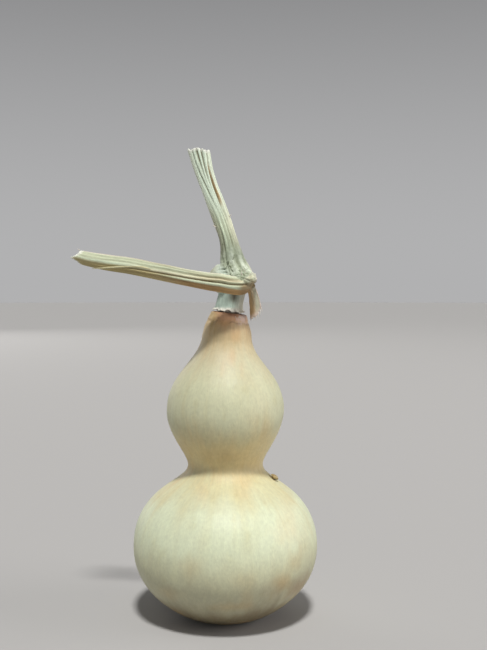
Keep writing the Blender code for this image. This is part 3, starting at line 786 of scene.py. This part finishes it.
def rising_colours(arm, colours, length, angle, up, high):
    """Cream on the right edge, a grey-pink painted shade on the left one and a darker painted shade on the
    left lower down, an orange slit, and paler higher up.
    """
    colours = coated(colours, (BRIGHT_GREEN, 0.85 * high), (CREAM, (0.5 - 0.25 * high) * ramp(up, 0.2, 0.9)))
    # Painted shade: grey-pink on the left edge, and darker on the left lower down
    edge = linear(LEFT_EDGE_SHADE) * (1 + 0.3 * high[:, None])
    colours = tinted(colours, edge, (0.75 - 0.45 * high) * ramp(up, -0.62, -0.97))
    colours = tinted(colours, linear(MID) * 0.8, 0.6 * ramp(up, -0.2, -0.6) * arm.ramp(length, 140, 130))
    slit = arm.ramp(length, 133, 137) * arm.ramp(length, 149, 145)
    return coated(colours, (ORANGE_TAN, 0.85 * slit * ramp(np.abs(angle - 308), 11, 5)))


def level_colours(arm, colours, length, angle, up, fibre):
    """Green above with a pinkish painted highlight along the top edge, grey, cream and ochre bands over the
    main groove near the elbow, tan and ochre below.
    """
    above = (angle - arm.groove(MAIN_GROOVE, length)[0] + 180) % 360 - 180
    wander = above + 6 * noise(fibre * [0, 0, 2.5], 1, 94)
    near_elbow = ramp(length, 46, 30)
    under = 0.9 * ramp(up, -0.3, -0.48) * ramp(length, 60, 52)
    # The top edge gets a pinkish painted highlight
    colours = coated(
        colours,
        (UPPER_GREEN, 0.75 * ramp(above, 24, 40)),
        (RIDGE_GREY, 0.75 * near_elbow * bell(wander - 31, 6)),
        (RIDGE_CREAM, 0.9 * near_elbow * bell(wander - 18, 8)),
        (RIDGE_OCHRE, 0.85 * near_elbow * ramp(length, 8, 16) * bell(wander - 6, 5)),
        (TOP_EDGE_HIGHLIGHT, (0.85 - 0.45 * near_elbow) * ramp(up, 0.86, 0.97)))
    colours = tinted(colours, linear(OLIVE_TAN) * 1.18, 0.85 * ramp(up, 0.05, -0.3) * ramp(length, 22, 36))
    return coated(
        colours, (OCHRE_UNDER, under * ramp(length, 44, 20)), (OLIVE_TAN, under * ramp(length, 20, 40)))


def arm_colours(arm, length, side, back, angle, share, ribs):
    """Colours of an arm's rind with painted light and shade on its ribs, painted shade in its grooves, its
    torn end and the inside of its hollow end.
    """
    fibre = stacked(side, back, 0.07 * length)
    up = np.cos(np.radians(angle))
    tone = noise(stacked(3.7 * strand_number(arm, length, angle), 0, 0.02 * length), 1, 90 + arm.key)
    colours = coated(linear(MID) + 0 * fibre, (PALE_GREEN, 0.55 + 0.5 * tone))
    if arm.rises:
        high = arm.ramp(length, 127, 137)
        colours = rising_colours(arm, colours, length, angle, up, high)
        valley, valley_share, slit, hollow = VALLEY, 0.6, SLIT, RISING_INSIDE
    else:
        high = 0 * length
        colours = level_colours(arm, colours, length, angle, up, fibre)
        valley, valley_share, slit, hollow = LEVEL_VALLEY, 0.3, LEVEL_SLIT, LEVEL_INSIDE
    # Painted light on the crests of the ribs and painted shade in their valleys
    colours = shaded(colours, 1.1, ramp(ribs, 0.1, 0.6))
    colours = coated(colours, (valley, valley_share * (1 - 0.75 * high) * ramp(ribs, -0.1, -0.55)))
    streaks = ramp(cloudy(fibre * [1, 1, 0.8], 0.4, 93), 0.1, 0.65)
    colours = shaded(colours, 0.72, (0.6 - 0.35 * high) * streaks)
    short = arm.end_length(angle) - length
    inside = ramp(share, 0.8, 0.68) * ramp(short, 14, 9)
    # Painted shade in the grooves between the strands
    return coated(
        colours, (slit, 0.85 * groove_mask(arm, length, angle)), (hollow, 0.85 * inside),
        (TORN_WHITE, 0.9 * ramp(short, 1.3, 0.4) * (1 - 0.6 * inside)))


# The crumpled region, and the height by x of the level arm's strands, which run on into it as far as the fold
CRUMPLED, CRUMPLED_SCALE = (4.2, -3, 112.5), (1, 1.3, 1.25)
STRANDS_TOP = ((-6, 113.2), (3.4, 111.6), (5.2, 110.3), (7, 109.2), (9, 108.9))
# The elbow's right edge as x by height, and the top of the brown shade under the fold as height by x
RIGHT_EDGE = ((108, 9.5), (111, 9.2), (122, 4))
SHADE_TOP = ((4, 108.4), (6, 109.5), (8.5, 110.3), (9.5, 110.6))
# Tones of the elbow: grey and green painted shade in the hollows of its folds and crumples and in its
# creases, a swelling that is partly a painted highlight, a pinkish painted reflection on its right edge, and
# painted shade under the fold and in the cracks
ELBOW_GREY, ELBOW_PALE, FOLD_HOLLOW_SHADE = (178, 188, 164), (214, 224, 204), (128, 134, 106)
CRUMPLE_HOLLOW_SHADE, CREASE_SHADE, SWELLING_PALE_AND_HIGHLIGHT = (150, 162, 136), (116, 124, 98), (218, 232, 218)
EDGE_REFLECTION, SHADE_BROWN, CRACK = (214, 206, 190), (138, 114, 80), (84, 88, 64)
DIMMED = (0.6, 0.61, 0.6)


def crumpled_share(points, pairs):
    """How much each point belongs to the crumpled region where arms, elbow and swelling meet, 0 to 1."""
    x, y, z = points.T
    reach = reach_from(points, CRUMPLED, CRUMPLED_SCALE)
    strands = ramp(z - along(x, STRANDS_TOP), 0.3, -0.3) * ramp(y, -5.5, -6.5) * ramp(x, 8.2, 6.6)
    near = ramp(reach, 9.5, 5.5) * (1 - strands) * ramp(z, 107, 108.5)
    return relaxed(near[:, None], pairs, 0.5, 6)[:, 0]


def elbow_colours(points, folds, crumple, creases, low, right):
    """The crumpled elbow and the swelling are pale, with grey and green painted shade in the hollows of the
    folds and crumples and in the creases, a pale swelling that is partly a painted highlight, and a pinkish
    painted reflection along the right edge.
    """
    x, _, z = points.T
    blend = 0.3 + 0.5 * low
    rough = folds * (1 - blend) + crumple * blend
    lobe = reach_from(points, SWELLING, SWELLING_RADII)
    edge = x - along(z, RIGHT_EDGE)
    return coated(
        linear(ELBOW_GREY) + 0 * points,
        (ELBOW_PALE, ramp(rough, -0.1, 0.5)),
        (FOLD_HOLLOW_SHADE, 0.7 * ramp(rough, -0.15, -0.65)),
        (CRUMPLE_HOLLOW_SHADE, 0.6 * right * ramp(crumple, 0.1, -0.35)),
        (CREASE_SHADE, 0.6 * creases),
        (SWELLING_PALE_AND_HIGHLIGHT, 0.85 * ramp(lobe, 1.15, 1) * ramp(x, 2.5, 0) * ramp(z, 117.5, 115)),
        (EDGE_REFLECTION, 0.55 * ramp(edge, 0.1, 0.6)))


def vine_skin(arms):
    """(points, faces) of one skin round both arms, the elbow, the swelling and the scrap."""
    parts = [make_core(arm, stops) for arm, stops in zip(arms, (RISING_CORE_ENDS, LEVEL_CORE_ENDS))]
    parts += [make_strand(arm, number) for arm in arms for number in range(len(arm.grooves))]
    parts += [lump(ELBOW, ELBOW_RADII), lump(FOLD, FOLD_RADII), lump(SWELLING, SWELLING_RADII), make_flap()]
    parts += [oval(smoothed(web, 40)[0], 40) for web in (BACK_WEB, SIDE_WEB)]
    return remeshed(*joined(parts))


def make_vine():
    rising = Arm(RISING_ARM, RISING_GROOVES, RISING_END, 2)
    level = Arm(LEVEL_ARM, LEVEL_GROOVES, LEVEL_END, 0)
    points, faces = vine_skin((rising, level))
    # Smooth the steps of the skin, and most of all the seams where arms, elbow and swelling meet
    pairs = edge_pairs(faces)
    near = crumpled_share(points, pairs)
    points = relaxed(points, pairs, 0.6 * near, 14)
    points = relaxed(points, pairs, 0.5, 2)
    points = relaxed(points, pairs, 0.5 * ramp(points[:, 2], 122, 132), 4)
    normals = normals_of(points, faces)
    # Which arm a point belongs to, the ribs and fine fibres along it, and the crumpled region's relief
    on_rising, on_level = rising.local(points), level.local(points)
    share = ramp(on_rising[4] - on_level[4], 0.25, -0.25)
    grain = tinted(
        stacked(on_level[1] + 20, on_level[2], 0.1 * on_level[0]),
        stacked(on_rising[1], on_rising[2], 0.1 * on_rising[0]), share)
    x, y, z = points.T
    low = ramp(z, 116, 112.5)
    right = ramp(x, 2.5, 5) * low
    ribs, fine = noise(grain * (1, 1, 0.6), 0.95, 64), noise(grain, 0.42, 66)
    folds = noise(grain * (1, 1, 1.6), 1.3, 61)
    crumple = noise(points, 1.15, 62) + 0.6 * noise(points, 0.6, 63)
    creases = bell(noise(points * (1, 1, 1.3), 1.5, 67), 0.16) * right * (0.25 + 0.75 * ramp(y, -1.5, -4))
    cracks, dark = crack_depth(points, normals)
    rise = near * (0.28 * folds + (0.1 + 0.14 * low + 0.22 * right) * crumple - 0.3 * creases) - cracks
    plainer = 1 - 0.6 * ramp(z, 127, 137)
    rise += (1 - 0.6 * near) * plainer * ((0.06 + 0.06 * share) * ribs + 0.05 * fine)
    points = points + normals * rise[:, None]
    colours = tinted(arm_colours(level, *on_level, ribs), arm_colours(rising, *on_rising, ribs), share)
    colours = tinted(colours, elbow_colours(points, folds, crumple, creases, low, right), 0.9 * near)
    # The rising arm is dimmer over the elbow than higher up
    x, y, z = points.T
    dim = ramp(z, 129, 122) * ramp(z, 115, 118) * np.maximum(share, near)
    colours = shaded(colours, DIMMED, 0.85 * dim)
    # Brown painted shade under the fold, from the level arm's end down to the scrap, and dark painted shade
    # in the cracks
    under = z - along(x, SHADE_TOP) + 0.5 * noise(points, 1.3, 84)
    lower = ramp(under, 0.8, -1.2) * ramp(x, 3.5, 6) * ramp(y, -2, -5)
    colours = coated(colours, (SHADE_BROWN, 0.85 * lower), (CRACK, 0.8 * dark))
    colours = flap_colours(points, colours)
    extras, extra_colours, extra_grain = make_fibres()
    points, faces = joined([(points, faces), *extras])
    colours, grain = np.vstack([colours, extra_colours]), np.vstack([grain, extra_grain])
    return thinned(made("vine_fine", points, faces, colours, grain))


SCRAP_FOLD_SHADE, SCRAP_GREEN = (186, 154, 112), (182, 180, 158)
SCRAP_EDGE, SCRAP_END = (206, 190, 178), (206, 188, 176)


def flap_colours(points, colours):
    """The colours with the torn scrap's own laid over them."""
    x, y, z = points.T
    heights, left, right, _ = np.array(FLAP)[::-1].T
    left, right = np.interp(z, heights, left), np.interp(z, heights, right)
    across = (x - left) / (right - left)
    streak = cloudy(stacked(x, y, 0.12 * z), 0.5, 72)
    # The scrap's left half, beside its fold, is tan as painted shade; the rest is green
    scrap = coated(
        linear(SCRAP_FOLD_SHADE) + 0 * points,
        (SCRAP_GREEN, ramp(across + 0.18 * streak, 0.15, 0.75)), (SCRAP_EDGE, ramp(across, 0.84, 0.97)))
    scrap = shaded(scrap, 0.72, 0.5 * ramp(streak, 0.1, 0.7))
    scrap = coated(scrap, (SCRAP_END, 0.8 * ramp(z - along(across, FLAP_END), 2, 0.4)))
    return tinted(colours, scrap, ramp(z, 108.9, 107.4) * ((z < 109) & (x > 6.4) & (y > -6)))


# Loose fibres: x, y, z, radius of their corners
FIBRES = (
    ((11.6, -3.1, 101.6, 0.13), (11.9, -3.1, 100.9, 0.1), (12, -3.2, 100.2, 0.03)),
    ((11.3, -3.2, 101, 0.13), (11.3, -3.2, 99.9, 0.1), (11.1, -3.4, 98.9, 0.04)),
    ((10.8, -3.3, 100.3, 0.13), (10.8, -3.4, 99.2, 0.1), (10.95, -3.6, 98.3, 0.03)),
    ((10.3, -3.4, 99.8, 0.12), (10.2, -3.5, 98.6, 0.09), (10, -3.6, 97.9, 0.03)),
    ((9.7, -3.5, 99.3, 0.12), (9.7, -3.6, 98.2, 0.08), (9.9, -3.7, 97.7, 0.03)),
    ((9, -3.5, 98.9, 0.12), (8.9, -3.6, 97.9, 0.08), (8.7, -3.7, 97.4, 0.03)),
    ((8.4, -3.4, 98.3, 0.11), (8.2, -3.5, 97.6, 0.06), (8.15, -3.5, 97.2, 0.03)),
    ((-3, -2.4, 127.6, 0.22), (-3.7, -2.7, 128.2, 0.16), (-3.9, -2.8, 128, 0.08)),
    ((1, -1.8, 130.9, 0.18), (1.7, -2, 131.6, 0.13), (2, -2.2, 131.7, 0.05)),
    ((-45.9, -10, 119.9, 0.14), (-46.3, -10, 120.3, 0.09), (-46.5, -10, 120.5, 0.03)),
    ((5.2, -8, 113.2, 0.13), (5.7, -8.6, 113.8, 0.1), (6, -8.8, 114.3, 0.03)),
    ((9.3, -5.4, 110.2, 0.55), (9.8, -5.4, 110.6, 0.38), (10.25, -5.4, 111.1, 0.08)),
    ((8.4, -6.2, 112, 0.3), (8.9, -6.3, 112.3, 0.2), (9.3, -6.4, 112.3, 0.05)),
    ((7.6, -11.4, 111.9, 0.16), (8.3, -11.6, 112.4, 0.12), (8.7, -11.6, 112.9, 0.04)),
    ((5.6, -11.6, 112.1, 0.16), (5.2, -11.9, 112.7, 0.12), (5.2, -11.9, 113.3, 0.04)),
    ((6.6, -8.6, 112.8, 0.13), (6.2, -9.3, 113.3, 0.1), (6.3, -9.5, 113.8, 0.03)),
)
SHRED_STRAW, FIBRE_PALE = (206, 200, 160), (226, 218, 204)


def make_fibres():
    """The shred and the loose fibres as (points, faces), with their colours and grain."""
    parts = [hair(SHRED, 9), *(hair(rows) for rows in FIBRES)]
    tones = [SHRED_STRAW] + [FIBRE_PALE] * len(FIBRES)
    colours = np.vstack([linear(tone) + 0 * part[0] for part, tone in zip(parts, tones)])
    return parts, colours, np.vstack([part[0] for part in parts])


def filled(tree, node, inputs):
    """Sets a node's inputs to numbers, or links them to other nodes' outputs."""
    for key, value in inputs.items():
        if isinstance(value, bpy.types.NodeSocket):
            tree.links.new(value, node.inputs[key])
        else:
            node.inputs[key].default_value = value


def added(tree, kind, output, inputs, **settings):
    """An output of a new node with these inputs and settings."""
    node = tree.nodes.new("ShaderNode" + kind)
    for key, value in settings.items():
        setattr(node, key, value)
    filled(tree, node, inputs)
    return node.outputs[output]


def finish(name, rough, streak, fine, mottle, bump, specular):
    """A dry plant skin: its own colours, streaked along its grain and mottled, rough and with low relief.

    Roughness is from and to, relief is strength and height, and the others are scale and strength.
    """
    new = bpy.data.materials.new(name)
    new.use_nodes = True
    tree = new.node_tree

    def attribute(kind, output):
        return added(tree, "Attribute", output, {}, attribute_name=kind)

    def noise_node(vector, scale, detail):
        return added(tree, "TexNoise", "Fac", {"Vector": vector, "Scale": scale, "Detail": detail})

    def spread(value, low, high):
        limits = {"From Min": 0.3, "From Max": 0.7, "To Min": low, "To Max": high}
        return added(tree, "MapRange", "Result", {"Value": value, **limits})

    def varied(light, value, far):
        factors = {0: light, 1: spread(value, 1 - far, 1 + far)}
        return added(tree, "Math", "Value", factors, operation="MULTIPLY")

    grain = attribute("grain", "Vector")
    broad, narrow = noise_node(grain, streak[0], 3), noise_node(grain, fine[0], 2)
    patchy = noise_node(added(tree, "TexCoord", "Object", {}), mottle[0], 3)
    light = varied(varied(spread(broad, 1 - streak[1], 1 + streak[1]), narrow, fine[1]), patchy, mottle[1])
    tint = {"Vector": attribute("tint", "Color"), "Scale": light}
    relief = {"Strength": bump[0], "Distance": bump[1], "Height": narrow}
    filled(tree, tree.nodes["Principled BSDF"], {
        "Base Color": added(tree, "VectorMath", "Vector", tint, operation="SCALE"),
        "Roughness": spread(broad, *rough), "Specular IOR Level": specular,
        "Normal": added(tree, "Bump", "Normal", relief)})
    return new


def dress(obj, node, material):
    obj.data.materials.append(material)
    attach(obj, "root")
    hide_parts(node)


dress(make_fruit(), "gourd", finish(
    "dry_skin", rough=(0.42, 0.6), streak=(0.8, 0.035), fine=(2.4, 0.035), mottle=(900, 0.045),
    bump=(0.25, 0.0002), specular=0.4))
dress(make_stalk(), "fruit_stalk", finish(
    "dry_stalk", rough=(0.7, 0.85), streak=(1.2, 0.05), fine=(4, 0.06), mottle=(1300, 0.05),
    bump=(0.6, 0.0002), specular=0.25))
dress(make_vine(), "vine", finish(
    "dry_rind", rough=(0.62, 0.8), streak=(1.6, 0.08), fine=(5, 0.08), mottle=(1500, 0.05),
    bump=(0.45, 0.0002), specular=0.3))


# The studio, in metres and degrees: the distant lamp, the world at the horizon and overhead, the floor, what
# the lamps point at, and the camera, which looks down a little
KEY_STRENGTH, KEY_SPREAD, KEY_HEIGHT, KEY_SIDE = 2.85, 7.5, 64.8, 5
KEY_COLOUR = (1, 0.985, 0.96)
HORIZON, OVERHEAD = (0.44, 0.44, 0.445), (0.12, 0.12, 0.125)
FLOOR_RADIUS, FLOOR_COLOUR = 6, (0.45, 0.445, 0.44)
LAMPS_AIM = (0, 0, 0.06)
LENS, SENSOR = 52.06, 36
CAMERA_PLACE, CAMERA_DOWN = (0.00593, -0.308, 0.1086), 2.37


def plain(name, colour):
    new = bpy.data.materials.new(name)
    new.use_nodes = True
    matt = {"Base Color": (*colour, 1), "Roughness": 1, "Specular IOR Level": 0.1}
    filled(new.node_tree, new.node_tree.nodes["Principled BSDF"], matt)
    return new


def make_floor():
    turn = circle(96)
    rim = FLOOR_RADIUS * stacked(np.cos(turn), np.sin(turn), 0)
    mesh = mesh_of("floor", rim, [tuple(range(len(turn)))])
    mesh.materials.append(plain("pale_floor", FLOOR_COLOUR))
    linked("floor", mesh)


def make_lamp(name, kind, energy, colour, **settings):
    light = bpy.data.lights.new(name, kind)
    light.energy, light.color = energy, colour
    for key, value in settings.items():
        setattr(light, key, value)
    return linked(name, light)


def make_soft_lamp(name, place, size, power, colour):
    """A large round lamp that points at the gourd."""
    lamp = make_lamp(name, "AREA", power, colour, shape="DISK", size=size)
    lamp.location = place
    lamp.rotation_euler = (Vector(LAMPS_AIM) - lamp.location).to_track_quat("-Z", "Y").to_euler()


def make_world():
    """An even studio: pale near the horizon and dimmer overhead."""
    world = bpy.data.worlds.new("studio")
    world.use_nodes = True
    tree = world.node_tree
    height = added(tree, "SeparateXYZ", "Z", {"Vector": added(tree, "TexCoord", "Generated", {})})
    blend = tree.nodes.new("ShaderNodeValToRGB")
    blend.color_ramp.interpolation = "EASE"
    low, high = blend.color_ramp.elements
    low.position, low.color = 0.02, (*HORIZON, 1)
    high.position, high.color = 0.55, (*OVERHEAD, 1)
    filled(tree, blend, {"Fac": height})
    filled(tree, tree.nodes["Background"], {"Color": blend.outputs["Color"]})
    bpy.context.scene.world = world
    bpy.context.scene.view_settings.view_transform = "Standard"


make_floor()
key_lamp = make_lamp("key", "SUN", KEY_STRENGTH, KEY_COLOUR, angle=math.radians(KEY_SPREAD))
key_lamp.rotation_euler = (math.radians(90 - KEY_HEIGHT), 0, math.radians(KEY_SIDE))
make_soft_lamp("fill", (1.6, -0.25, 0.55), 1.2, 10, (1, 0.96, 0.95))
make_soft_lamp("back", (-1, 1.5, 0.7), 1.4, 5.5, (1, 0.98, 0.96))
make_world()

lens = bpy.data.cameras.new("camera")
lens.lens = LENS
lens.sensor_width = SENSOR
camera = linked("camera", lens)
camera.location = CAMERA_PLACE
camera.rotation_euler = (math.radians(90 - CAMERA_DOWN), 0, 0)
bpy.context.scene.camera = camera
